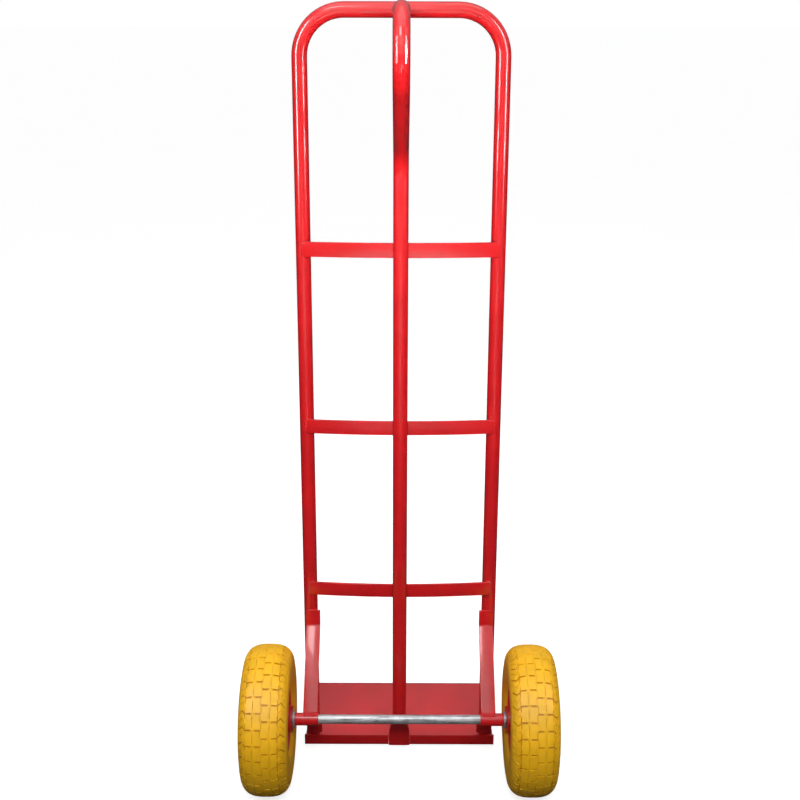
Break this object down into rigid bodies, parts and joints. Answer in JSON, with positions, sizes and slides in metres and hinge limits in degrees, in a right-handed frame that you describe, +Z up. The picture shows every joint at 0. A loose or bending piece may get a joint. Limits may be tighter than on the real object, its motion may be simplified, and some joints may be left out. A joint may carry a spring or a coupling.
{
  "type": "hand truck",
  "caption": "Upright steel hand truck with a P-shaped handle, flat toe plate, bowed crossbars and solid tyres on a fixed axle.",
  "frame": {"origin": "on the floor, at the middle of the whole object's outline seen from above", "axes": "+X to the right of the person who pushes it, along the axle; +Y forwards, to the load side and the toe plate's front edge; +Z up"},
  "size_m": [0.5542, 0.4676, 1.33],
  "materials": {
    "red_coat": "gloss powder coat over welded steel, slight orange peel",
    "red_rim": "gloss powder coat on pressed steel",
    "yellow_tyre": "matte moulded polyurethane foam",
    "axle_plating": "bright zinc plate with drawn marks",
    "zinc_hardware": "zinc plated",
    "bearing_steel": "ground steel"
  },
  "bodies": {
    "frame": {"outer_frame": "red_coat", "p_handle": "red_coat", "crossbar_upper": "red_coat", "crossbar_middle": "red_coat", "crossbar_lower": "red_coat", "toe_plate": "red_coat", "axle_stay_upper_left": "red_coat", "axle_stay_upper_right": "red_coat", "axle_stay_lower_left": "red_coat", "axle_stay_lower_right": "red_coat", "axle_sleeve_left": "red_coat", "axle_sleeve_right": "red_coat", "axle": "axle_plating", "washer_inner_left": "zinc_hardware", "washer_inner_right": "zinc_hardware", "washer_outer_left": "zinc_hardware", "washer_outer_right": "zinc_hardware", "split_pin_left": "zinc_hardware", "split_pin_right": "zinc_hardware", "bearing_inner_rings_left": "bearing_steel", "bearing_inner_rings_right": "bearing_steel"},
    "wheel_left": {"tyre_left": "yellow_tyre", "rim_inner_left": "red_rim", "rim_outer_left": "red_rim", "rim_bolts_left": "zinc_hardware", "rim_nuts_left": "zinc_hardware", "hub_left": "red_rim", "bearing_outer_rings_left": "bearing_steel", "bearing_shields_left": "bearing_steel"},
    "wheel_right": {"tyre_right": "yellow_tyre", "rim_inner_right": "red_rim", "rim_outer_right": "red_rim", "rim_bolts_right": "zinc_hardware", "rim_nuts_right": "zinc_hardware", "hub_right": "red_rim", "bearing_outer_rings_right": "bearing_steel", "bearing_shields_right": "bearing_steel"},
    "balls_left": {"bearing_balls_left": "bearing_steel", "bearing_cages_left": "bearing_steel"},
    "balls_right": {"bearing_balls_right": "bearing_steel", "bearing_cages_right": "bearing_steel"}
  },
  "joints": [
    {"name": "wheel_left_spin", "type": "hinge", "parent": "frame", "child": "wheel_left", "pos_m": [-0.2295, -0.10225, 0.13], "axis": [1, 0, 0], "continuous": true},
    {"name": "wheel_right_spin", "type": "hinge", "parent": "frame", "child": "wheel_right", "pos_m": [0.2295, -0.10225, 0.13], "axis": [1, 0, 0], "continuous": true},
    {"name": "balls_left_spin", "type": "hinge", "parent": "frame", "child": "balls_left", "pos_m": [-0.2295, -0.10225, 0.13], "axis": [1, 0, 0], "continuous": true},
    {"name": "balls_right_spin", "type": "hinge", "parent": "frame", "child": "balls_right", "pos_m": [0.2295, -0.10225, 0.13], "axis": [1, 0, 0], "continuous": true}
  ],
  "couplings": [
    {"joint": "balls_left_spin", "follows": "wheel_left_spin", "ratio": 0.6179},
    {"joint": "balls_right_spin", "follows": "wheel_right_spin", "ratio": 0.6179}
  ]
}
